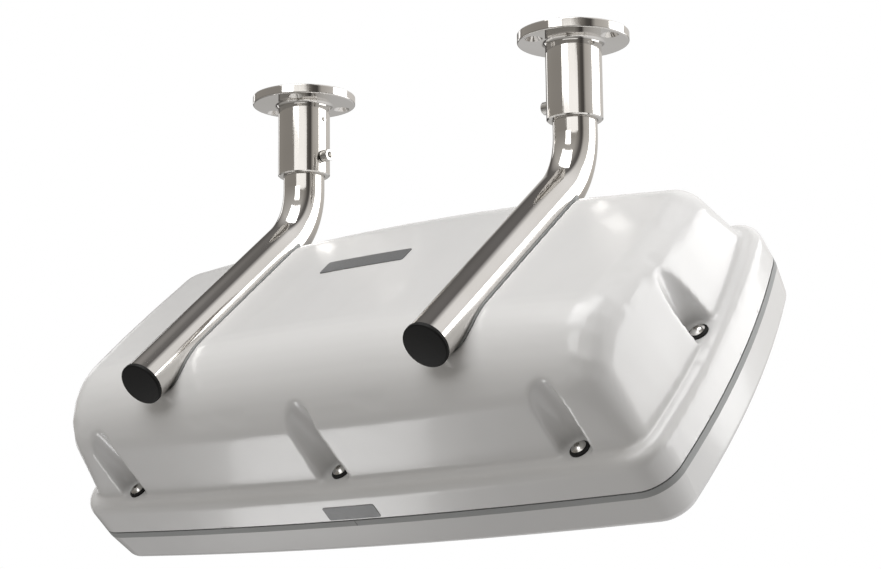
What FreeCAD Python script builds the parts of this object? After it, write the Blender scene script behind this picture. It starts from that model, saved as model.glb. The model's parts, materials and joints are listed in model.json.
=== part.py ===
"""Overhead instrument pod hung on two bent tubes.

Row frame: origin midway between the two bases, in the overhead face they bolt to; X runs through both
bases, Z is up, and the pod leans so that its blank instrument face looks away from -Y and down.
Pod frame: x along the pod, y up its face, z out of its back; the tubes' bends end in y = 0, z = 0.
"""
import os
import math
import FreeCAD
import Part

Vec = FreeCAD.Vector

# ---------------------------------------------------------------- bases and tubes
base_spacing = 257.9
flange_radius = 40.0
flange_thickness = 7.1
flange_edge_round = 1.0
flange_hole_circle_radius = 31.0
flange_hole_radius = 3.3
countersink_radius = 6.6
collar_radius = 20.15
collar_length = 57.0
collar_weld_round = 3.0
collar_rim_chamfer = 0.9
cable_hole_radius = 13.0
tube_radius = 15.875
tube_wall = 1.65
tube_running_gap = 0.05
tube_top_gap = 0.5
tube_lead_in = 0.6
upper_screw_drop = 14.0
lower_screw_drop = 43.5
bend_drop = 67.6
bend_radius = 60.8
tube_slope = 50.3
slope_length = 190.5

# ---------------------------------------------------------------- collar screws
screw_radius = 3.175
screw_gap = 0.05
screw_tip_gap = 0.3
set_screw_length = 3.9
set_socket_across_flats = 3.2
set_socket_depth = 2.2
screw_chamfer = 0.5
cap_head_radius = 4.75
cap_head_height = 6.1
cap_head_standoff = 0.5
cap_socket_across_flats = 4.8
cap_socket_depth = 3.2

# ---------------------------------------------------------------- end plugs
plug_head_radius = 16.3
plug_head_thickness = 3.0
plug_edge_round = 1.2
plug_dome_rise = 0.6
plug_stem_length = 14.0
plug_stem_wall = 2.0
plug_fit_gap = 0.05

# ---------------------------------------------------------------- pod outline and levels
face_slope = 40.3
pod_half_length = 267.0
pod_half_height = 121.65
side_bow_radius = 5000.0
end_bow_radius = 555.0
corner_radius = 26.0
dome_foot_corner = 26.0
dome_corner_growth = 0.3
pod_centre_y = -95.95
ledge_z = -60.0
rim_bottom_z = -86.0
band_top_z = -87.2
band_bottom_z = -92.0
face_z = -120.0
shell_wall = 4.0
rim_wall = 5.0
rim_round = 8.0
foot_round = 2.5
ledge_width = 12.0
dome_draft = 3.0
end_wall_slope = 0.14
upper_wall_slope = 0.11
dome_wall_top_z = 50.0
crown_radius = 2600.0
back_rise = 2.4
back_tilt = tube_slope - face_slope
shoulder_radius = 60.0
shoulder_start_y = -137.0
shoulder_wall_lean = 12.0
profile_upper_y = 60.0
profile_floor_z = -150.0
crown_half_sweep = 8.0
dome_edge_round = 24.0
front_draft = 4.0
front_round = 7.0
seal_setback = 1.5
tongue_inset = 5.6
tongue_wall = 2.0
tongue_top_z = -81.0
band_joint_x = 5.0
band_joint_gap = 0.5

# ---------------------------------------------------------------- case screws
case_screw_pitch_x = 199.5
case_screw_rows_y = 100.85
end_screw_x = 249.0
scallop_foot_radius = 11.5
scallop_top_radius = 10.5
scallop_top_z = 45.0
scallop_mouth_reach = 11.0
scallop_mouth_flare = 1.5
lower_scallop_lean = 0.125
upper_scallop_lean = 0.52
end_scallop_lean = 0.13
boss_radius = 8.0
boss_hole_radius = 3.6
boss_hole_bottom_z = -84.0
insert_radius = 4.5
insert_length = 12.0
case_screw_radius = 3.0
case_screw_gap = 0.05
case_screw_length = 20.0
case_head_radius = 5.3
case_head_height = 3.3
case_head_edge = 0.9
case_head_flat = 0.05
lobe_circle_radius = 1.45
lobe_radius = 0.62
lobe_depth = 1.9
seal_washer_radius = 7.0
seal_washer_thickness = 1.5
seal_washer_round = 0.5
ledge_hole_radius = 3.3

# ---------------------------------------------------------------- tube saddles
pad_thickness = 1.0
pad_end_station = 172.0
saddle_bolt_stations = (45.0, 135.0)
grommet_station = 90.0
block_half_width = 14.0
block_half_length = 62.0
block_top = 12.0
block_bottom = 28.0
block_edge_round = 2.0
bolt_radius = 3.0
bolt_gap = 0.05
bolt_clearance = 0.3
bolt_tip_depth = 6.0
bolt_washer_radius = 6.0
bolt_washer_thickness = 1.6
bolt_head_radius = 5.0
bolt_head_height = 6.0
bolt_socket_radius = 2.5
bolt_socket_depth = 3.0
rivet_nut_radius = 4.5
rivet_nut_length = 11.0
grommet_radius = 7.0
grommet_bore_radius = 4.5
grommet_flange_radius = 10.0
grommet_flange_thickness = 2.0

# ---------------------------------------------------------------- blank badge and label
badge_size = (78.0, 15.0)
badge_centre = (-8.0, -57.0)
badge_thickness = 0.5
label_size = (46.0, 12.0)
label_centre = (8.0, -79.0)
label_thickness = 0.3

half_spacing = base_spacing / 2.0
bend_start_z = -flange_thickness - bend_drop
slope_rad = math.radians(tube_slope)
bend_end = Vec(
    0.0,
    -bend_radius * (1.0 - math.cos(slope_rad)),
    bend_start_z - bend_radius * math.sin(slope_rad),
)
slope_direction = Vec(0.0, -math.sin(slope_rad), -math.cos(slope_rad))
groove_radius = tube_radius + pad_thickness
back_rad = math.radians(back_tilt)


def cylinder(radius, start, end):
    """Solid cylinder between two points."""
    axis = end.sub(start)
    return Part.makeCylinder(radius, axis.Length, start, axis)


def ring(outer, inner, start, end):
    """Tube between two points."""
    return cylinder(outer, start, end).cut(cylinder(inner, start, end))


def cone(radius_start, radius_end, start, end):
    """Truncated cone between two points."""
    axis = end.sub(start)
    return Part.makeCone(radius_start, radius_end, axis.Length, start, axis)


def hexagon(across_flats, start, end):
    """Hexagonal prism between two points on a coordinate axis."""
    axis = end.sub(start)
    side = axis.cross(Vec(0, 1, 0.3))
    side.normalize()
    other = axis.cross(side)
    other.normalize()
    corner = across_flats / math.sqrt(3.0)
    points = []
    for index in range(7):
        angle = math.radians(60.0 * index)
        across = side * (corner * math.cos(angle))
        up = other * (corner * math.sin(angle))
        points.append(start.add(across).add(up))
    return Part.Face(Part.makePolygon(points)).extrude(axis)


def union(shapes):
    """One solid from several touching ones."""
    body = shapes[0]
    for shape in shapes[1:]:
        body = body.fuse(shape)
    return body.removeSplitter()


def to_row(shape):
    """Carry a shape from the pod frame into the row frame."""
    turn = FreeCAD.Rotation(Vec(1, 0, 0), 90.0 - face_slope)
    placement = FreeCAD.Placement(bend_end, turn)
    return shape.transformed(placement.toMatrix())


def save(node, shape):
    """Write one node; loose pieces stay separate solids in it."""
    solids = shape.Solids
    result = solids[0] if len(solids) == 1 else Part.makeCompound(solids)
    result.exportStep("parts/" + node + ".step")


# ---------------------------------------------------------------- bases
def make_base(side):
    """Flange, socket collar, bore and holes; side is -1 for left and +1 for right."""
    x = side * half_spacing
    bottom = -flange_thickness
    rim = bottom - collar_length
    disc = cylinder(flange_radius, Vec(x, 0, bottom), Vec(x, 0, 0))
    disc = disc.makeFillet(flange_edge_round, [e for e in disc.Edges if e.Closed])
    collar = cylinder(collar_radius, Vec(x, 0, rim), Vec(x, 0, bottom + 1.0))
    low_edges = [e for e in collar.Edges if e.Closed and e.BoundBox.ZMax < rim + 0.1]
    collar = collar.makeChamfer(collar_rim_chamfer, low_edges)
    body = disc.fuse(collar)
    joint = []
    for edge_shape in body.Edges:
        box = edge_shape.BoundBox
        on_face = abs(box.ZMin - bottom) < 0.01 and abs(box.ZMax - bottom) < 0.01
        if on_face and abs(box.XLength - 2.0 * collar_radius) < 0.1:
            joint.append(edge_shape)
    body = body.makeFillet(collar_weld_round, joint)
    bore = tube_radius + tube_running_gap
    body = body.cut(cylinder(bore, Vec(x, 0, rim - 1.0), Vec(x, 0, bottom)))
    body = body.cut(cylinder(cable_hole_radius, Vec(x, 0, bottom - 1.0), Vec(x, 0, 1.0)))
    lead = tube_lead_in
    body = body.cut(cone(bore + lead, bore, Vec(x, 0, rim), Vec(x, 0, rim + lead)))
    sink_depth = countersink_radius - flange_hole_radius
    first_angle = 180.0 if side < 0 else 0.0
    for index in range(3):
        angle = math.radians(first_angle + 120.0 * index)
        hole_x = x + flange_hole_circle_radius * math.cos(angle)
        hole_y = flange_hole_circle_radius * math.sin(angle)
        low = Vec(hole_x, hole_y, bottom - 0.01)
        body = body.cut(cylinder(flange_hole_radius, low, Vec(hole_x, hole_y, 1.0)))
        high = Vec(hole_x, hole_y, bottom + sink_depth)
        body = body.cut(cone(countersink_radius, flange_hole_radius, low, high))
    hole_radius = screw_radius + screw_gap
    for drop in (upper_screw_drop, lower_screw_drop):
        level = bottom - drop
        start = Vec(x, 0, level)
        end = Vec(x - side * (collar_radius + 2.0), 0, level)
        body = body.cut(cylinder(hole_radius, start, end))
    return body


def make_set_screw(side):
    """Flush socket set screw with a coned tip."""
    x = side * half_spacing
    level = -flange_thickness - upper_screw_drop
    tip = tube_radius + screw_tip_gap
    outer = tip + set_screw_length
    chamfer = screw_chamfer

    def at(radial):
        return Vec(x - side * radial, 0, level)

    nose = cone(screw_radius - chamfer, screw_radius, at(tip), at(tip + chamfer))
    shank = cylinder(screw_radius, at(tip + chamfer), at(outer))
    socket = hexagon(set_socket_across_flats, at(outer - set_socket_depth), at(outer + 1.0))
    return union([nose, shank]).cut(socket)


def make_clamp_screw(side):
    """Socket-head cap screw."""
    x = side * half_spacing
    level = -flange_thickness - lower_screw_drop
    tip = tube_radius + screw_tip_gap
    under_head = collar_radius + cap_head_standoff
    top = under_head + cap_head_height
    chamfer = screw_chamfer

    def at(radial):
        return Vec(x - side * radial, 0, level)

    nose = cone(screw_radius - chamfer, screw_radius, at(tip), at(tip + chamfer))
    shank = cylinder(screw_radius, at(tip + chamfer), at(under_head + 0.5))
    head = cylinder(cap_head_radius, at(under_head), at(top - chamfer))
    crown = cone(cap_head_radius, cap_head_radius - chamfer, at(top - chamfer), at(top))
    body = union([nose, shank, head, crown])
    return body.cut(hexagon(cap_socket_across_flats, at(top - cap_socket_depth), at(top + 1.0)))


# ---------------------------------------------------------------- tubes and plugs
def tube_frame(station, depth, side):
    """Row point on the sloped run: station along it, depth below its axis towards the pod."""
    normal = Vec(0.0, -math.cos(slope_rad), math.sin(slope_rad))
    middle = Vec(side * half_spacing, 0, 0).add(bend_end)
    return middle.add(slope_direction * station).sub(normal * depth)


def make_tube(side):
    """Bent hollow tube with holes for two rivet nuts and the wiring."""
    x = side * half_spacing
    inner = tube_radius - tube_wall
    top = Vec(x, 0, -flange_thickness - tube_top_gap)
    bend_start = Vec(x, 0, bend_start_z)
    straight = ring(tube_radius, inner, bend_start, top)
    outer_circle = Part.Wire(Part.makeCircle(tube_radius, bend_start, Vec(0, 0, -1)))
    inner_circle = Part.Wire(Part.makeCircle(inner, bend_start, Vec(0, 0, -1)))
    section = Part.Face(outer_circle).cut(Part.Face(inner_circle))
    pivot = Vec(x, -bend_radius, bend_start_z)
    bend = section.revolve(pivot, Vec(-1, 0, 0), tube_slope)
    start = tube_frame(0.0, 0.0, side)
    end = tube_frame(slope_length, 0.0, side)
    slope = ring(tube_radius, inner, start, end)
    body = union([straight, bend, slope])
    for station in saddle_bolt_stations:
        axis_point = tube_frame(station, 0.0, side)
        body = body.cut(cylinder(rivet_nut_radius, axis_point, tube_frame(station, 30.0, side)))
    axis_point = tube_frame(grommet_station, 0.0, side)
    return body.cut(cylinder(grommet_radius, axis_point, tube_frame(grommet_station, 30.0, side)))


def make_end_plug(side):
    """Domed plastic plug with a hollow stem."""
    end = tube_frame(slope_length, 0.0, side)
    axis = slope_direction
    head = cylinder(plug_head_radius, end, end.add(axis * plug_head_thickness))
    outer_edges = []
    for edge_shape in head.Edges:
        if edge_shape.Closed and edge_shape.CenterOfMass.sub(end).dot(axis) > plug_head_thickness - 0.1:
            outer_edges.append(edge_shape)
    head = head.makeFillet(plug_edge_round, outer_edges)
    cap_radius = plug_head_radius - plug_edge_round
    sphere_radius = (cap_radius ** 2 + plug_dome_rise ** 2) / (2.0 * plug_dome_rise)
    centre = end.add(axis * (plug_head_thickness + plug_dome_rise - sphere_radius))
    cap = Part.makeSphere(sphere_radius, centre).common(
        cylinder(cap_radius, end.add(axis * 1.0), end.add(axis * (plug_head_thickness + 5.0)))
    )
    stem_radius = tube_radius - tube_wall - plug_fit_gap
    stem_tip = end.sub(axis * plug_stem_length)
    stem = ring(stem_radius, stem_radius - plug_stem_wall, stem_tip, end.add(axis * 0.5))
    return union([head, cap, stem])


# ---------------------------------------------------------------- pod outline
def corner_centre(half_length, half_height, blend):
    """Centre of the corner arc of radius blend that joins a bowed side to a bowed end."""
    side_centre_y = side_bow_radius - half_height
    end_centre_x = half_length - end_bow_radius
    reach_side = side_bow_radius - blend
    reach_end = end_bow_radius - blend
    gap = math.hypot(end_centre_x, side_centre_y)
    along = (gap ** 2 + reach_side ** 2 - reach_end ** 2) / (2.0 * gap)
    across = math.sqrt(reach_side ** 2 - along ** 2)
    ux = end_centre_x / gap
    uy = side_centre_y / gap
    x = along * ux + across * uy
    y = -side_centre_y + along * uy - across * ux
    return x, y


def outline(inset, z, blend=corner_radius, end_shift=0.0, upper_shift=0.0):
    """Closed pod outline at height z, set in by inset; the shifts bring in ends and upper side."""
    half_length = pod_half_length - end_shift
    half_height = pod_half_height - upper_shift / 2.0
    centre_y = pod_centre_y - upper_shift / 2.0
    corner_x, corner_y = corner_centre(half_length, half_height, blend)
    side_centre_y = side_bow_radius - half_height
    end_centre_x = half_length - end_bow_radius
    side_angle = math.atan2(corner_y + side_centre_y, corner_x)
    end_angle = math.atan2(corner_y, corner_x - end_centre_x)
    mid_angle = (side_angle + end_angle) / 2.0
    side_radius = side_bow_radius - inset
    end_radius = end_bow_radius - inset
    radius = blend - inset
    side_point = (side_radius * math.cos(side_angle), side_radius * math.sin(side_angle) - side_centre_y)
    end_point = (end_centre_x + end_radius * math.cos(end_angle), end_radius * math.sin(end_angle))
    mid_point = (corner_x + radius * math.cos(mid_angle), corner_y + radius * math.sin(mid_angle))
    top_point = (0.0, half_height - inset)
    far_point = (half_length - inset, 0.0)

    def place(point, flip_x, flip_y):
        return Vec(flip_x * point[0], centre_y + flip_y * point[1], z)

    arcs = []
    arcs.append((place(side_point, -1, 1), place(top_point, 1, 1), place(side_point, 1, 1)))
    arcs.append((place(side_point, 1, 1), place(mid_point, 1, 1), place(end_point, 1, 1)))
    arcs.append((place(end_point, 1, 1), place(far_point, 1, 1), place(end_point, 1, -1)))
    arcs.append((place(end_point, 1, -1), place(mid_point, 1, -1), place(side_point, 1, -1)))
    arcs.append((place(side_point, 1, -1), place(top_point, 1, -1), place(side_point, -1, -1)))
    arcs.append((place(side_point, -1, -1), place(mid_point, -1, -1), place(end_point, -1, -1)))
    arcs.append((place(end_point, -1, -1), place(far_point, -1, 1), place(end_point, -1, 1)))
    arcs.append((place(end_point, -1, 1), place(mid_point, -1, 1), place(side_point, -1, 1)))
    return Part.Wire([Part.Arc(*points).toShape() for points in arcs])


def slab(inset, low, high):
    """Upright block with the pod outline."""
    return Part.Face(outline(inset, low)).extrude(Vec(0, 0, high - low))


def loft(wires):
    """Straight-walled solid between two wires."""
    return Part.makeLoft(wires, True, True)


# ---------------------------------------------------------------- dome
def back_profile(thickness):
    """Crowned solid under the back, its skin lowered by thickness."""
    radius = shoulder_radius - thickness
    floor_z = profile_floor_z
    normal = Vec(0, math.sin(back_rad), math.cos(back_rad))
    tangent = Vec(0, shoulder_start_y, back_rise - math.tan(back_rad) * shoulder_start_y)
    centre = tangent.sub(normal * shoulder_radius)
    upper = Vec(0, profile_upper_y, back_rise - math.tan(back_rad) * profile_upper_y)
    skin_start = upper.sub(normal * thickness)
    skin_end = centre.add(normal * radius)
    lean = math.radians(shoulder_wall_lean)
    middle = (math.pi / 2.0 + lean - back_rad) / 2.0
    shoulder_middle = centre.add(Vec(0, -radius * math.cos(middle), radius * math.sin(middle)))
    wall_top = centre.add(Vec(0, -radius * math.cos(lean), radius * math.sin(lean)))
    wall_foot = Vec(0, wall_top.y - (wall_top.z - floor_z) * math.tan(lean), floor_z)
    floor_end = Vec(0, skin_start.y, floor_z)
    edges = [
        Part.makeLine(skin_start, skin_end),
        Part.Arc(skin_end, shoulder_middle, wall_top).toShape(),
        Part.makeLine(wall_top, wall_foot),
        Part.makeLine(wall_foot, floor_end),
        Part.makeLine(floor_end, skin_start),
    ]
    face = Part.Face(Part.Wire(edges))
    pivot = Vec(0, 0, back_rise - crown_radius)
    face.rotate(pivot, Vec(0, 1, 0), -crown_half_sweep)
    return face.revolve(pivot, Vec(0, 1, 0), 2.0 * crown_half_sweep)


def dome_outline(thickness, z):
    """Outline of the drafted dome walls at height z."""
    climb = z - ledge_z
    inset = ledge_width + thickness + dome_draft * climb / (dome_wall_top_z - ledge_z)
    blend = dome_foot_corner + dome_corner_growth * climb
    return outline(inset, z, blend, end_wall_slope * climb, upper_wall_slope * climb)


def dome(thickness, low, rounding):
    """Dome body above level low, its skin lowered by thickness, with rounded top edges."""
    walls = loft([dome_outline(thickness, low), dome_outline(thickness, dome_wall_top_z)])
    body = walls.common(back_profile(thickness)).Solids[0]
    top_edges = []
    for edge_shape in body.Edges:
        box = edge_shape.BoundBox
        if box.ZMin < low + 1.0:
            continue
        faces = body.ancestorsOfType(edge_shape, Part.Face)
        wall_faces = [f for f in faces if f.BoundBox.ZMin < low + 1.0]
        if len(wall_faces) == 1:
            top_edges.append(edge_shape)
    return body.makeFillet(rounding, top_edges)


def screw_places():
    """Pod x and y of the eight case screws."""
    places = []
    for x in (-case_screw_pitch_x, 0.0, case_screw_pitch_x):
        for y in (-case_screw_rows_y, case_screw_rows_y):
            places.append((x, pod_centre_y + y))
    places.append((-end_screw_x, pod_centre_y))
    places.append((end_screw_x, pod_centre_y))
    return places


def pod_tube(station, depth, side):
    """Pod-frame point: station along a tube's sloped run, depth below its axis."""
    y = -station * math.cos(back_rad) - depth * math.sin(back_rad)
    z = station * math.sin(back_rad) - depth * math.cos(back_rad)
    return Vec(side * half_spacing, y, z)


def saddle_hole(radius, station, start_depth, end_depth, side):
    """Cylinder square to a tube's sloped run."""
    return cylinder(radius, pod_tube(station, start_depth, side), pod_tube(station, end_depth, side))


def rounded_plate(size, centre, corner):
    """Rounded rectangle face in the XY plane."""
    half_x = size[0] / 2.0
    half_y = size[1] / 2.0
    block = Part.makeBox(size[0], size[1], 1.0, Vec(centre[0] - half_x, centre[1] - half_y, 0.0))
    uprights = [e for e in block.Edges if e.BoundBox.ZLength > 0.5]
    block = block.makeFillet(corner, uprights)
    return [f for f in block.Faces if f.BoundBox.ZMax < 0.1][0]


# ---------------------------------------------------------------- shells
def dome_with_rim():
    """Outer skin of the rear shell before scallops and saddles."""
    rim = slab(0.0, rim_bottom_z, ledge_z)
    rim = rim.makeFillet(rim_round, [e for e in rim.Edges if e.BoundBox.ZMin > ledge_z - 0.1])
    body = rim.fuse(dome(0.0, ledge_z - 8.0, dome_edge_round)).removeSplitter().Solids[0]
    limit = pod_half_length - ledge_width + 0.5
    foot = []
    for edge_shape in body.Edges:
        box = edge_shape.BoundBox
        level = box.ZLength < 0.01 and abs(box.ZMin - ledge_z) < 0.01
        inside = box.XMax < limit and box.YMax < pod_centre_y + pod_half_height - ledge_width + 0.5
        if level and inside and box.YMin > pod_centre_y - pod_half_height + ledge_width - 0.5:
            foot.append(edge_shape)
    return body.makeFillet(foot_round, foot)


def scallop_wire(x, y, out_x, out_y, radius, z):
    """Half circle round a screw, open to a slightly flared mouth in the outward direction."""
    side_x = -out_y
    side_y = out_x
    mouth = radius + scallop_mouth_flare

    def place(outward, sideways):
        return Vec(x + out_x * outward + side_x * sideways, y + out_y * outward + side_y * sideways, z)

    edges = [
        Part.Arc(place(0.0, radius), place(-radius, 0.0), place(0.0, -radius)).toShape(),
        Part.makeLine(place(0.0, -radius), place(scallop_mouth_reach, -mouth)),
        Part.makeLine(place(scallop_mouth_reach, -mouth), place(scallop_mouth_reach, mouth)),
        Part.makeLine(place(scallop_mouth_reach, mouth), place(0.0, radius)),
    ]
    return Part.Wire(edges)


def scallop(screw, extra, low):
    """Leaning screw clearance that stands on level low and runs out of the wall higher up."""
    x, y = screw
    out_x = 0.0
    out_y = 1.0
    lean = upper_scallop_lean
    if y < pod_centre_y - 1.0:
        out_y = -1.0
        lean = lower_scallop_lean
    if abs(x) > case_screw_pitch_x + 1.0:
        out_x = math.copysign(1.0, x)
        out_y = 0.0
        lean = end_scallop_lean
    wires = []
    for z, radius in ((low, scallop_foot_radius), (scallop_top_z, scallop_top_radius)):
        shift = lean * (z - ledge_z)
        wires.append(scallop_wire(x + out_x * shift, y + out_y * shift, out_x, out_y, radius + extra, z))
    return loft(wires)


def make_rear_shell():
    """Domed back with rim, screw scallops, tube saddles and all holes."""
    body = dome_with_rim()
    for screw in screw_places():
        body = body.cut(scallop(screw, 0.0, ledge_z))
    room = slab(rim_wall, rim_bottom_z - 1.0, ledge_z - shell_wall)
    room = room.fuse(dome(shell_wall, ledge_z - shell_wall - 5.0, dome_edge_round - shell_wall))
    for screw in screw_places():
        room = room.cut(scallop(screw, shell_wall, ledge_z - shell_wall))
    for side in (-1, 1):
        bump_low = pod_tube(-40.0, 0.0, side)
        bump_high = pod_tube(240.0, 0.0, side)
        bump = cylinder(groove_radius + shell_wall, bump_low, bump_high)
        room = room.cut(bump)
    body = body.cut(room)
    for side in (-1, 1):
        body = body.cut(cylinder(groove_radius, pod_tube(-40.0, 0.0, side), pod_tube(240.0, 0.0, side)))
        for station in saddle_bolt_stations:
            body = body.cut(saddle_hole(bolt_radius + bolt_clearance, station, 0.0, 30.0, side))
        body = body.cut(saddle_hole(grommet_radius, grommet_station, 0.0, 30.0, side))
    for x, y in screw_places():
        body = body.cut(cylinder(ledge_hole_radius, Vec(x, y, ledge_z - 6.0), Vec(x, y, ledge_z + 1.0)))
    return body


def make_front_shell():
    """Tray with a blank instrument face, a locating tongue and eight bosses."""
    body = loft([outline(0.0, band_bottom_z), outline(front_draft, face_z)])
    body = body.makeFillet(front_round, [e for e in body.Edges if e.BoundBox.ZMax < face_z + 0.1])
    body = body.cut(slab(front_draft + shell_wall, face_z + shell_wall, band_bottom_z + 1.0))
    tongue = slab(tongue_inset, face_z + 2.0, tongue_top_z)
    tongue = tongue.cut(slab(tongue_inset + tongue_wall, face_z + 1.0, tongue_top_z + 1.0))
    body = body.fuse(tongue)
    boss_top = ledge_z - shell_wall
    for x, y in screw_places():
        body = body.fuse(cylinder(boss_radius, Vec(x, y, face_z + 2.0), Vec(x, y, boss_top)))
    for x, y in screw_places():
        above = Vec(x, y, boss_top + 1.0)
        body = body.cut(cylinder(insert_radius, Vec(x, y, boss_top - insert_length), above))
        body = body.cut(cylinder(boss_hole_radius, Vec(x, y, boss_hole_bottom_z), above))
    return body.removeSplitter()


def make_gasket():
    """Grey band between the shells with its butt joint on the lower side."""
    inner = slab(rim_wall, band_bottom_z - 1.0, band_top_z + 1.0)
    body = slab(0.0, band_bottom_z, band_top_z).cut(inner)
    low_y = pod_centre_y - pod_half_height
    slot = Part.makeBox(band_joint_gap, 12.0, 10.0, Vec(band_joint_x, low_y - 3.0, band_bottom_z - 2.0))
    return body.cut(slot)


def make_seal():
    """Thin set-back seal above the band."""
    body = slab(seal_setback, band_top_z, rim_bottom_z)
    return body.cut(slab(rim_wall, band_top_z - 1.0, rim_bottom_z + 1.0))


# ---------------------------------------------------------------- case fasteners
def make_case_screw(x, y):
    """Button-head screw with a six-lobe recess."""
    seat = ledge_z + seal_washer_thickness
    top = seat + case_head_height
    shank = cylinder(case_screw_radius, Vec(x, y, seat - case_screw_length), Vec(x, y, seat + 0.5))
    rise = case_head_height - case_head_edge
    sphere_radius = (case_head_radius ** 2 + rise ** 2) / (2.0 * rise)
    column = cylinder(case_head_radius, Vec(x, y, seat), Vec(x, y, top - case_head_flat))
    head = column.common(Part.makeSphere(sphere_radius, Vec(x, y, top - sphere_radius)))
    floor_z = top - lobe_depth
    recess = cylinder(lobe_circle_radius, Vec(x, y, floor_z), Vec(x, y, top + 1.0))
    for index in range(6):
        angle = math.radians(60.0 * index)
        lobe_x = x + lobe_circle_radius * math.cos(angle)
        lobe_y = y + lobe_circle_radius * math.sin(angle)
        lobe_floor = Vec(lobe_x, lobe_y, floor_z)
        recess = recess.fuse(cylinder(lobe_radius, lobe_floor, Vec(lobe_x, lobe_y, top + 1.0)))
    return union([shank, head]).cut(recess)


def make_seal_washer(x, y):
    """Soft washer under one screw head."""
    low = Vec(x, y, ledge_z)
    high = Vec(x, y, ledge_z + seal_washer_thickness)
    body = cylinder(seal_washer_radius, low, high)
    upper_edges = [e for e in body.Edges if e.Closed and e.BoundBox.ZMin > ledge_z + 1.0]
    body = body.makeFillet(seal_washer_round, upper_edges)
    beyond = Vec(0, 0, 1)
    return body.cut(cylinder(case_screw_radius + case_screw_gap, low.sub(beyond), high.add(beyond)))


def make_insert(x, y):
    """Threaded insert, modelled smooth."""
    top = ledge_z - shell_wall
    low = Vec(x, y, top - insert_length)
    return ring(insert_radius, case_screw_radius + case_screw_gap, low, Vec(x, y, top))


# ---------------------------------------------------------------- saddles
def make_pad(side):
    """Half-round liner between tube and saddle."""
    pad_low = pod_tube(2.0, 0.0, side)
    pad_high = pod_tube(pad_end_station, 0.0, side)
    body = ring(groove_radius, tube_radius, pad_low, pad_high)
    body = body.common(back_profile(0.0))
    for station in saddle_bolt_stations:
        body = body.cut(saddle_hole(bolt_radius + bolt_clearance, station, 0.0, 30.0, side))
    return body.cut(saddle_hole(grommet_radius, grommet_station, 0.0, 30.0, side))


def make_block(side):
    """Backing block inside the pod, hollowed to the saddle."""
    corners = []
    low_station = grommet_station - block_half_length
    for across, depth in ((-1, block_top), (1, block_top), (1, block_bottom), (-1, block_bottom)):
        point = pod_tube(low_station, depth, side)
        corners.append(point.add(Vec(across * block_half_width, 0, 0)))
    corners.append(corners[0])
    run = pod_tube(grommet_station + block_half_length, block_top, side).sub(corners[0])
    run.x = 0.0
    body = Part.Face(Part.makePolygon(corners)).extrude(run)
    long_edges = [e for e in body.Edges if abs(e.Length - run.Length) < 0.01]
    body = body.makeFillet(block_edge_round, long_edges)
    saddle_low = pod_tube(-10.0, 0.0, side)
    saddle_high = pod_tube(200.0, 0.0, side)
    body = body.cut(cylinder(groove_radius + shell_wall, saddle_low, saddle_high))
    for station in saddle_bolt_stations:
        body = body.cut(saddle_hole(bolt_radius + bolt_clearance, station, 0.0, 40.0, side))
    return body.cut(saddle_hole(grommet_radius, grommet_station, 0.0, 40.0, side))


def make_saddle_bolt(station, side):
    """Socket-head bolt from inside the pod into the tube."""
    seat = block_bottom + bolt_washer_thickness
    end = seat + bolt_head_height
    shank = saddle_hole(bolt_radius, station, bolt_tip_depth, seat + 0.5, side)
    head = saddle_hole(bolt_head_radius, station, seat, end, side)
    socket = saddle_hole(bolt_socket_radius, station, end - bolt_socket_depth, end + 1.0, side)
    return union([shank, head]).cut(socket)


def make_bolt_washer(station, side):
    """Flat washer under one saddle bolt."""
    low = pod_tube(station, block_bottom, side)
    high = pod_tube(station, block_bottom + bolt_washer_thickness, side)
    return ring(bolt_washer_radius, bolt_radius + bolt_clearance, low, high)


def make_rivet_nut(station, side):
    """Rivet nut set flush in the tube wall."""
    inner_end = tube_radius - rivet_nut_length
    body = saddle_hole(rivet_nut_radius, station, inner_end, tube_radius + 1.0, side)
    flush_low = pod_tube(station - 20.0, 0.0, side)
    flush_high = pod_tube(station + 20.0, 0.0, side)
    flush = cylinder(tube_radius, flush_low, flush_high)
    return body.common(flush).cut(saddle_hole(bolt_radius + bolt_gap, station, 0.0, 30.0, side))


def make_grommet(side):
    """Rubber bush that carries the wiring from the tube into the pod."""
    end = block_bottom + grommet_flange_thickness
    body = saddle_hole(grommet_radius, grommet_station, 12.0, end, side)
    flange = saddle_hole(grommet_flange_radius, grommet_station, block_bottom, end, side)
    body = body.fuse(flange)
    return body.cut(saddle_hole(grommet_bore_radius, grommet_station, 5.0, end + 5.0, side))


# ---------------------------------------------------------------- blank badge and label
def make_badge():
    """Plain plate that follows the crowned back."""
    face = rounded_plate(badge_size, badge_centre, 2.0)
    column = face.extrude(Vec(0, 0, 60))
    skin = back_profile(-badge_thickness).cut(back_profile(0.0))
    return column.common(skin)


def make_label():
    """Plain sticker on the lower rim wall."""
    face = rounded_plate(label_size, label_centre, 1.5)
    face.rotate(Vec(0, 0, 0), Vec(1, 0, 0), 90.0)
    low_y = pod_centre_y - pod_half_height
    column = face.extrude(Vec(0, -10, 0))
    column.translate(Vec(0, low_y + 5.0, 0))
    skin = slab(-label_thickness, rim_bottom_z, ledge_z)
    return column.common(skin.cut(slab(0.0, rim_bottom_z - 1.0, ledge_z + 1.0)))


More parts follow.
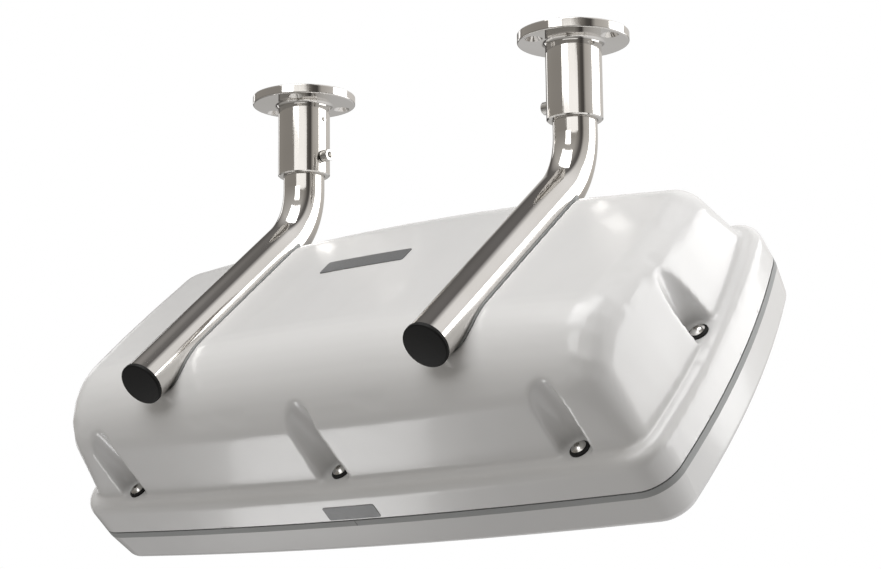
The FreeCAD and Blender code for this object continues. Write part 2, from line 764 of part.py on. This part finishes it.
def build():
    """Make and save every node."""
    os.makedirs("parts", exist_ok=True)
    for side, name in ((-1, "left"), (1, "right")):
        save(name + "_base", make_base(side))
        save(name + "_set_screw", make_set_screw(side))
        save(name + "_clamp_screw", make_clamp_screw(side))
        save(name + "_tube", make_tube(side))
        save(name + "_end_plug", make_end_plug(side))
        save(name + "_saddle_pad", to_row(make_pad(side)))
        save(name + "_backing_block", to_row(make_block(side)))
        save(name + "_cable_grommet", to_row(make_grommet(side)))
    save("rear_shell", to_row(make_rear_shell()))
    save("front_shell", to_row(make_front_shell()))
    save("case_gasket", to_row(make_gasket()))
    save("case_seal", to_row(make_seal()))
    places = screw_places()
    save("case_screws", to_row(Part.makeCompound([make_case_screw(x, y) for x, y in places])))
    save("screw_sealing_washers", to_row(Part.makeCompound([make_seal_washer(x, y) for x, y in places])))
    save("screw_inserts", to_row(Part.makeCompound([make_insert(x, y) for x, y in places])))
    bolts = []
    washers = []
    nuts = []
    for side in (-1, 1):
        for station in saddle_bolt_stations:
            bolts.append(make_saddle_bolt(station, side))
            washers.append(make_bolt_washer(station, side))
            nuts.append(make_rivet_nut(station, side))
    save("saddle_bolts", to_row(Part.makeCompound(bolts)))
    save("saddle_bolt_washers", to_row(Part.makeCompound(washers)))
    save("tube_rivet_nuts", to_row(Part.makeCompound(nuts)))
    save("blank_badge", to_row(make_badge()))
    save("blank_label", to_row(make_label()))


build()
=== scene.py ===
import json
import math
import bpy
import numpy as np
from mathutils import Matrix, Vector
from mathutils.kdtree import KDTree


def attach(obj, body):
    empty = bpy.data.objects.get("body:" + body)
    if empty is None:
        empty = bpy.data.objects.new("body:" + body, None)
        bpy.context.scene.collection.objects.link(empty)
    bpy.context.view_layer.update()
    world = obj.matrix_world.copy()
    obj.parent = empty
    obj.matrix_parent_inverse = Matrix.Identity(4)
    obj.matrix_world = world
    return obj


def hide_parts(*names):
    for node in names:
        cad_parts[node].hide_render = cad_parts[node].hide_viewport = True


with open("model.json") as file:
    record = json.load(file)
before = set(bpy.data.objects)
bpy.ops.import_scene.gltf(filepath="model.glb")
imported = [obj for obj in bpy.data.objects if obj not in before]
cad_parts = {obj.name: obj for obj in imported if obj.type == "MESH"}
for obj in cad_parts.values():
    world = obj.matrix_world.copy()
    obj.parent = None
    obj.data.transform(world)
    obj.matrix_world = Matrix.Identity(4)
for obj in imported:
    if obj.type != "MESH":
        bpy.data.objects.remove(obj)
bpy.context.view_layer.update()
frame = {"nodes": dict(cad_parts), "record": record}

# Pod frame, in metres: the back leans over by POD_LEAN and heights are measured out of it.
POD_LEAN = math.radians(40.3)
POD_ORIGIN = np.array((0.0, -0.021963, -0.121479))
OUT_OF_BACK = np.array((0.0, -math.cos(POD_LEAN), math.sin(POD_LEAN)))
RIM_FOOT_HEIGHT = -0.086
ROUNDING_START_HEIGHT = -0.082
ROUNDING_BLEND = 0.008
SHELL_VOXEL = 0.0015
SHELL_ROUNDS = 7
RIM_REACH = 0.0014
RIM_SAMPLE_STEP = 0.0002
SAME_HEIGHT = 0.00002
CREASE_ANGLE = math.radians(50.0)

# Floor, lights and camera, in metres, degrees, watts and millimetres of lens.
FLOOR_REACH = 60.0
FLOOR_HEIGHT = -2.2
FLOOR_GLOW = 0.4
LIGHT_TARGET = Vector((0.0, -0.05, -0.2))
BRIGHT_SIDE = math.radians(65.0)
CAMERA_PLACE = Vector((0.98259, -1.22288, -0.45869))
CAMERA_YAW = math.radians(38.6135)
CAMERA_PITCH = math.radians(10.5864)
CAMERA_ROLL = math.radians(-0.6068)
SENSOR_WIDTH = 36.0
FOCAL_LENGTH = 88.8692


# ---------------------------------------------------------------- material parts
def new_material(name):
    """Material with its node tree, its shader and its object-space coordinates."""
    material = bpy.data.materials.new(name)
    material.use_nodes = True
    tree = material.node_tree
    shader = tree.nodes["Principled BSDF"]
    coords = tree.nodes.new("ShaderNodeTexCoord")
    return material, tree, shader, coords.outputs["Object"]


def noise(tree, vector, scale, detail=3.0, roughness=0.5):
    """Noise value at a point."""
    node = tree.nodes.new("ShaderNodeTexNoise")
    node.inputs["Scale"].default_value = scale
    node.inputs["Detail"].default_value = detail
    node.inputs["Roughness"].default_value = roughness
    tree.links.new(vector, node.inputs["Vector"])
    return node.outputs["Fac"]


def stretch(tree, vector, scale):
    """Coordinates scaled by a different amount on each axis."""
    node = tree.nodes.new("ShaderNodeMapping")
    node.inputs["Scale"].default_value = scale
    tree.links.new(vector, node.inputs["Vector"])
    return node.outputs["Vector"]


def spread(tree, value, low, high, start=0.3, end=0.7):
    """Value carried from the range start to end onto the range low to high."""
    node = tree.nodes.new("ShaderNodeMapRange")
    node.inputs["From Min"].default_value = start
    node.inputs["From Max"].default_value = end
    node.inputs["To Min"].default_value = low
    node.inputs["To Max"].default_value = high
    tree.links.new(value, node.inputs["Value"])
    return node.outputs["Result"]


def ramp(tree, value, dark, light, start=0.3, end=0.7):
    """Colour between dark and light."""
    node = tree.nodes.new("ShaderNodeValToRGB")
    node.color_ramp.elements[0].position = start
    node.color_ramp.elements[1].position = end
    node.color_ramp.elements[0].color = (*dark, 1.0)
    node.color_ramp.elements[1].color = (*light, 1.0)
    tree.links.new(value, node.inputs["Fac"])
    return node.outputs["Color"]


def bump(tree, shader, height, distance, strength):
    """Fine surface relief."""
    node = tree.nodes.new("ShaderNodeBump")
    node.inputs["Strength"].default_value = strength
    node.inputs["Distance"].default_value = distance
    tree.links.new(height, node.inputs["Height"])
    tree.links.new(node.outputs["Normal"], shader.inputs["Normal"])


def metal(name, dark, light, roughness, grain=(1.0, 1.0, 1.0)):
    """Bare metal; grain stretches the fine polishing marks."""
    material, tree, shader, vector = new_material(name)
    shader.inputs["Metallic"].default_value = 1.0
    broad = noise(tree, vector, 14.0, 2.0)
    fine = noise(tree, stretch(tree, vector, grain), 900.0, 4.0, 0.6)
    tree.links.new(ramp(tree, broad, dark, light), shader.inputs["Base Color"])
    tree.links.new(spread(tree, fine, *roughness), shader.inputs["Roughness"])
    bump(tree, shader, fine, 0.000004, 0.25)
    return material


def moulded(name, dark, light, roughness, texture_scale, texture_depth, coat=0.0, specular=0.5):
    """Moulded plastic or rubber with a fine surface texture."""
    material, tree, shader, vector = new_material(name)
    shader.inputs["Coat Weight"].default_value = coat
    shader.inputs["Coat Roughness"].default_value = 0.08
    shader.inputs["Specular IOR Level"].default_value = specular
    broad = noise(tree, vector, 6.0)
    fine = noise(tree, vector, texture_scale)
    tree.links.new(ramp(tree, broad, dark, light), shader.inputs["Base Color"])
    tree.links.new(spread(tree, fine, *roughness), shader.inputs["Roughness"])
    bump(tree, shader, fine, texture_depth, 0.35)
    return material


def grey(level):
    """Neutral colour."""
    return (level, level, level)


# ---------------------------------------------------------------- materials
def mirror_stainless():
    """Polished tubes and bases, with marks drawn out along Z."""
    return metal("mirror_stainless", (0.66, 0.64, 0.61), (0.74, 0.72, 0.7), (0.05, 0.09), (1.0, 1.0, 0.05))


def screw_stainless():
    """Bright fasteners."""
    return metal("screw_stainless", (0.58, 0.57, 0.55), (0.72, 0.71, 0.69), (0.12, 0.24))


def machined_brass():
    """Threaded inserts."""
    return metal("machined_brass", (0.62, 0.46, 0.2), (0.74, 0.58, 0.3), (0.2, 0.35))


def gloss_white_shell():
    """Thermoformed shells with a thin gloss coat."""
    light = (0.83, 0.83, 0.825)
    return moulded("gloss_white_shell", grey(0.80), light, (0.22, 0.27), 90.0, 0.00001, coat=0.3)


def satin_black_plastic():
    """End plugs and backing blocks."""
    roughness = (0.45, 0.6)
    return moulded(
        "satin_black_plastic", grey(0.002), grey(0.004), roughness, 1400.0, 0.00003, specular=0.25
    )


def grey_silicone():
    """Gasket band and saddle liners."""
    dark = (0.36, 0.37, 0.37)
    light = (0.42, 0.43, 0.43)
    return moulded("grey_silicone", dark, light, (0.55, 0.75), 900.0, 0.00004, specular=0.3)


def black_rubber():
    """Near-black rubber: the real sealing washers and grommets, and the seal ring above the gasket, whose
    near-black is painted shade standing in for the shadow gap there.
    """
    return moulded("black_rubber", grey(0.008), grey(0.016), (0.6, 0.8), 1200.0, 0.00004, specular=0.3)


def dark_grey_print():
    """Blank badge and label."""
    dark = (0.14, 0.145, 0.15)
    light = (0.19, 0.195, 0.2)
    return moulded("dark_grey_print", dark, light, (0.3, 0.42), 700.0, 0.00002)


finish = {
    "polished_stainless": mirror_stainless(),
    "screw_stainless": screw_stainless(),
    "white_shell": gloss_white_shell(),
    "black_plastic": satin_black_plastic(),
    "grey_silicone": grey_silicone(),
    # black_rubber also paints the seal ring near-black as painted shade for the shadow gap above the
    # gasket.
    "black_rubber": black_rubber(),
    "grey_plate": dark_grey_print(),
    "brass": machined_brass(),
}
for entry in frame["record"]["subparts"]:
    for material_slot in frame["nodes"][entry["node"]].material_slots:
        material_slot.material = finish[entry["material_slot"]]


# ---------------------------------------------------------------- rear shell
def mesh_points(mesh):
    """A mesh's points as an array of rows."""
    points = np.empty(len(mesh.vertices) * 3)
    mesh.vertices.foreach_get("co", points)
    return points.reshape(-1, 3)


def pod_height(points):
    """Height above the pod's back plane; negative is towards the instrument face."""
    return (points - POD_ORIGIN) @ OUT_OF_BACK


def remeshed(source, name, voxel):
    """An evenly meshed, smooth-shaded copy of a CAD node."""
    piece = bpy.data.objects.new(name, source.data.copy())
    bpy.context.scene.collection.objects.link(piece)
    remesh = piece.modifiers.new("even", "REMESH")
    remesh.mode = "VOXEL"
    remesh.voxel_size = voxel
    remesh.adaptivity = 0.0
    bpy.context.view_layer.update()
    result = piece.evaluated_get(bpy.context.evaluated_depsgraph_get())
    mesh = bpy.data.meshes.new_from_object(result)
    piece.modifiers.clear()
    piece.data = mesh
    mesh.polygons.foreach_set("use_smooth", [True] * len(mesh.polygons))
    return piece


def rounding_share(points):
    """Full rounding on the dome and ledge, fading to none at the edge that meets the seal."""
    return np.clip((pod_height(points) - ROUNDING_START_HEIGHT) / ROUNDING_BLEND, 0.0, 1.0)


def round_edges(mesh, rounds):
    """Rounds a mesh's edges by moving each point towards its neighbours' average."""
    points = mesh_points(mesh)
    pairs = np.empty(len(mesh.edges) * 2, dtype=np.int64)
    mesh.edges.foreach_get("vertices", pairs)
    first, second = pairs.reshape(-1, 2).T
    count = len(points)
    neighbours = np.bincount(first, minlength=count) + np.bincount(second, minlength=count)
    share = 0.5 * rounding_share(points)
    for _ in range(rounds):
        for axis in range(3):
            values = points[:, axis]
            total = np.bincount(first, values[second], count)
            total += np.bincount(second, values[first], count)
            points[:, axis] = values + share * (total / neighbours - values)
    mesh.vertices.foreach_set("co", points.ravel())
    mesh.update()


def rim_corners(source):
    """Points along the inner and outer corners of the CAD rim's flat foot."""
    points = mesh_points(source.data)
    on_foot = np.abs(pod_height(points) - RIM_FOOT_HEIGHT) < SAME_HEIGHT
    uses = {}
    for face in source.data.polygons:
        if all(on_foot[index] for index in face.vertices):
            for pair in face.edge_keys:
                uses[pair] = uses.get(pair, 0) + 1
    border = np.array([pair for pair, count in uses.items() if count == 1])
    starts, ends = points[border].transpose(1, 0, 2)
    samples = []
    for start, end in zip(starts, ends):
        steps = max(int(np.linalg.norm(end - start) / RIM_SAMPLE_STEP), 1)
        share = np.arange(steps + 1)[:, None] / steps
        samples.append(start + share * (end - start))
    return np.concatenate(samples)


def sharpen_rim(mesh, source):
    """Draws the mesh's points beside the rim's corners onto them."""
    samples = rim_corners(source)
    corners = KDTree(len(samples))
    for index, sample in enumerate(samples):
        corners.insert(sample, index)
    corners.balance()
    for vertex in mesh.vertices:
        if abs(pod_height(np.array(vertex.co)) - RIM_FOOT_HEIGHT) < RIM_REACH:
            corner, _, distance = corners.find(vertex.co)
            if distance < RIM_REACH:
                vertex.co = corner
    mesh.update()


def make_rear_shell():
    """The domed rear shell with soft moulded edges in place of the sharp CAD ones."""
    source = frame["nodes"]["rear_shell"]
    moulded_shell = remeshed(source, "rear_shell_moulding", SHELL_VOXEL)
    round_edges(moulded_shell.data, SHELL_ROUNDS)
    sharpen_rim(moulded_shell.data, source)
    moulded_shell.data.set_sharp_from_angle(angle=CREASE_ANGLE)
    moulded_shell.data.materials.clear()
    moulded_shell.data.materials.append(finish["white_shell"])
    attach(moulded_shell, "hanger")
    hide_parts("rear_shell")


make_rear_shell()


# ---------------------------------------------------------------- floor
def make_floor():
    """Wide pale floor, left out of bounced light and reflections."""
    near = -FLOOR_REACH
    far = FLOOR_REACH
    corners = [(x, y, FLOOR_HEIGHT) for x, y in ((near, near), (far, near), (far, far), (near, far))]
    mesh = bpy.data.meshes.new("floor")
    mesh.from_pydata(corners, [], [(0, 1, 2, 3)])
    floor = bpy.data.objects.new("floor", mesh)
    bpy.context.scene.collection.objects.link(floor)
    material, tree, shader, vector = new_material("pale_floor")
    colour = ramp(tree, noise(tree, vector, 0.6), grey(0.78), grey(0.82))
    tree.links.new(colour, shader.inputs["Base Color"])
    shader.inputs["Roughness"].default_value = 0.8
    shader.inputs["Emission Color"].default_value = (1.0, 1.0, 1.0, 1.0)
    shader.inputs["Emission Strength"].default_value = FLOOR_GLOW
    mesh.materials.append(material)
    floor.visible_diffuse = False
    floor.visible_glossy = False


make_floor()


# ---------------------------------------------------------------- studio room
def room_ramp(tree, socket, stops):
    """Light levels along one component of the direction, which runs from -1 to 1."""
    scaled = spread(tree, socket, 0.0, 1.0, -1.0, 1.0)
    node = tree.nodes.new("ShaderNodeValToRGB")
    elements = node.color_ramp.elements
    while len(elements) < len(stops):
        elements.new(0.5)
    for element, (position, colour) in zip(elements, stops):
        element.position = position
        element.color = (*colour, 1.0)
    tree.links.new(scaled, node.inputs["Fac"])
    return node.outputs["Color"]


def make_room():
    """White backdrop for the camera, and a room that is brighter on one side for everything else."""
    world = bpy.data.worlds.new("studio")
    bpy.context.scene.world = world
    world.use_nodes = True
    tree = world.node_tree
    tree.nodes.clear()
    direction = tree.nodes.new("ShaderNodeTexCoord")
    split = tree.nodes.new("ShaderNodeSeparateXYZ")
    tree.links.new(direction.outputs["Generated"], split.inputs["Vector"])
    by_height = room_ramp(tree, split.outputs["Z"], (
        (0.0, (0.62, 0.62, 0.63)),
        (0.38, grey(0.36)),
        (0.45, grey(0.165)),
        (0.55, (0.30, 0.285, 0.265)),
        (1.0, (0.75, 0.75, 0.76)),
    ))
    toward = tree.nodes.new("ShaderNodeVectorMath")
    toward.operation = "DOT_PRODUCT"
    toward.inputs[1].default_value = (math.cos(BRIGHT_SIDE), math.sin(BRIGHT_SIDE), 0.0)
    tree.links.new(direction.outputs["Generated"], toward.inputs[0])
    by_side = room_ramp(tree, toward.outputs["Value"], (
        (0.0, (0.8, 0.78, 0.75)),
        (0.30, (0.85, 0.83, 0.79)),
        (0.42, (0.50, 0.48, 0.46)),
        (0.48, (0.25, 0.24, 0.23)),
        (0.56, (0.20, 0.19, 0.185)),
        (0.64, (1.3, 1.28, 1.25)),
        (1.0, grey(2.0)),
    ))
    product = tree.nodes.new("ShaderNodeMix")
    product.data_type = "RGBA"
    product.blend_type = "MULTIPLY"
    product.inputs["Factor"].default_value = 1.0
    tree.links.new(by_height, product.inputs["A"])
    tree.links.new(by_side, product.inputs["B"])
    room = tree.nodes.new("ShaderNodeBackground")
    room.inputs["Strength"].default_value = 1.0
    tree.links.new(product.outputs["Result"], room.inputs["Color"])
    backdrop = tree.nodes.new("ShaderNodeBackground")
    backdrop.inputs["Color"].default_value = (1.0, 1.0, 1.0, 1.0)
    backdrop.inputs["Strength"].default_value = 1.0
    ray = tree.nodes.new("ShaderNodeLightPath")
    mix = tree.nodes.new("ShaderNodeMixShader")
    tree.links.new(ray.outputs["Is Camera Ray"], mix.inputs["Fac"])
    tree.links.new(room.outputs["Background"], mix.inputs[1])
    tree.links.new(backdrop.outputs["Background"], mix.inputs[2])
    output = tree.nodes.new("ShaderNodeOutputWorld")
    tree.links.new(mix.outputs["Shader"], output.inputs["Surface"])


make_room()


# ---------------------------------------------------------------- softboxes
def softbox(name, azimuth, elevation, distance, size, power, reflection_only=False):
    """Softbox aimed at the object; azimuth is in degrees from +X towards +Y."""
    data = bpy.data.lights.new(name, "AREA")
    data.shape = "RECTANGLE"
    data.size = size[0]
    data.size_y = size[1]
    data.energy = power
    light = bpy.data.objects.new(name, data)
    around = math.radians(azimuth)
    above = math.radians(elevation)
    level = math.cos(above)
    outward = Vector((math.cos(around) * level, math.sin(around) * level, math.sin(above)))
    light.location = LIGHT_TARGET + outward * distance
    light.rotation_euler = outward.to_track_quat("Z", "Y").to_euler()
    light.visible_camera = False
    light.visible_diffuse = not reflection_only
    bpy.context.scene.collection.objects.link(light)


softbox("front_left", -88.0, 30.0, 2.2, (1.0, 0.8), 6.0)
softbox("front_card", -66.0, 12.0, 2.2, (2.3, 0.8), 5.6, reflection_only=True)
softbox("overhead", -88.0, 66.0, 2.2, (1.8, 1.2), 26.0)
softbox("right", 45.0, 14.0, 2.4, (1.8, 1.7), 29.0)
softbox("left_back", 160.0, 10.0, 2.4, (0.5, 1.6), 3.0)
softbox("low_card", -175.0, -52.0, 1.25, (0.55, 0.3), 1.8)


# ---------------------------------------------------------------- camera
def make_camera():
    """Camera below and to the right of the pod, looking up at its back."""
    data = bpy.data.cameras.new("camera")
    data.sensor_width = SENSOR_WIDTH
    data.lens = FOCAL_LENGTH
    data.clip_start = 0.05
    data.clip_end = 200.0
    camera = bpy.data.objects.new("camera", data)
    level = math.cos(CAMERA_PITCH)
    ahead_x = -math.sin(CAMERA_YAW) * level
    ahead_y = math.cos(CAMERA_YAW) * level
    forward = Vector((ahead_x, ahead_y, math.sin(CAMERA_PITCH)))
    level_right = Vector((math.cos(CAMERA_YAW), math.sin(CAMERA_YAW), 0.0))
    level_up = level_right.cross(forward)
    right = level_right * math.cos(CAMERA_ROLL) + level_up * math.sin(CAMERA_ROLL)
    up = level_up * math.cos(CAMERA_ROLL) - level_right * math.sin(CAMERA_ROLL)
    axes = Matrix((right, up, -forward)).transposed()
    camera.matrix_world = Matrix.Translation(CAMERA_PLACE) @ axes.to_4x4()
    bpy.context.scene.collection.objects.link(camera)
    bpy.context.scene.camera = camera


make_camera()
bpy.context.scene.view_settings.view_transform = "Standard"
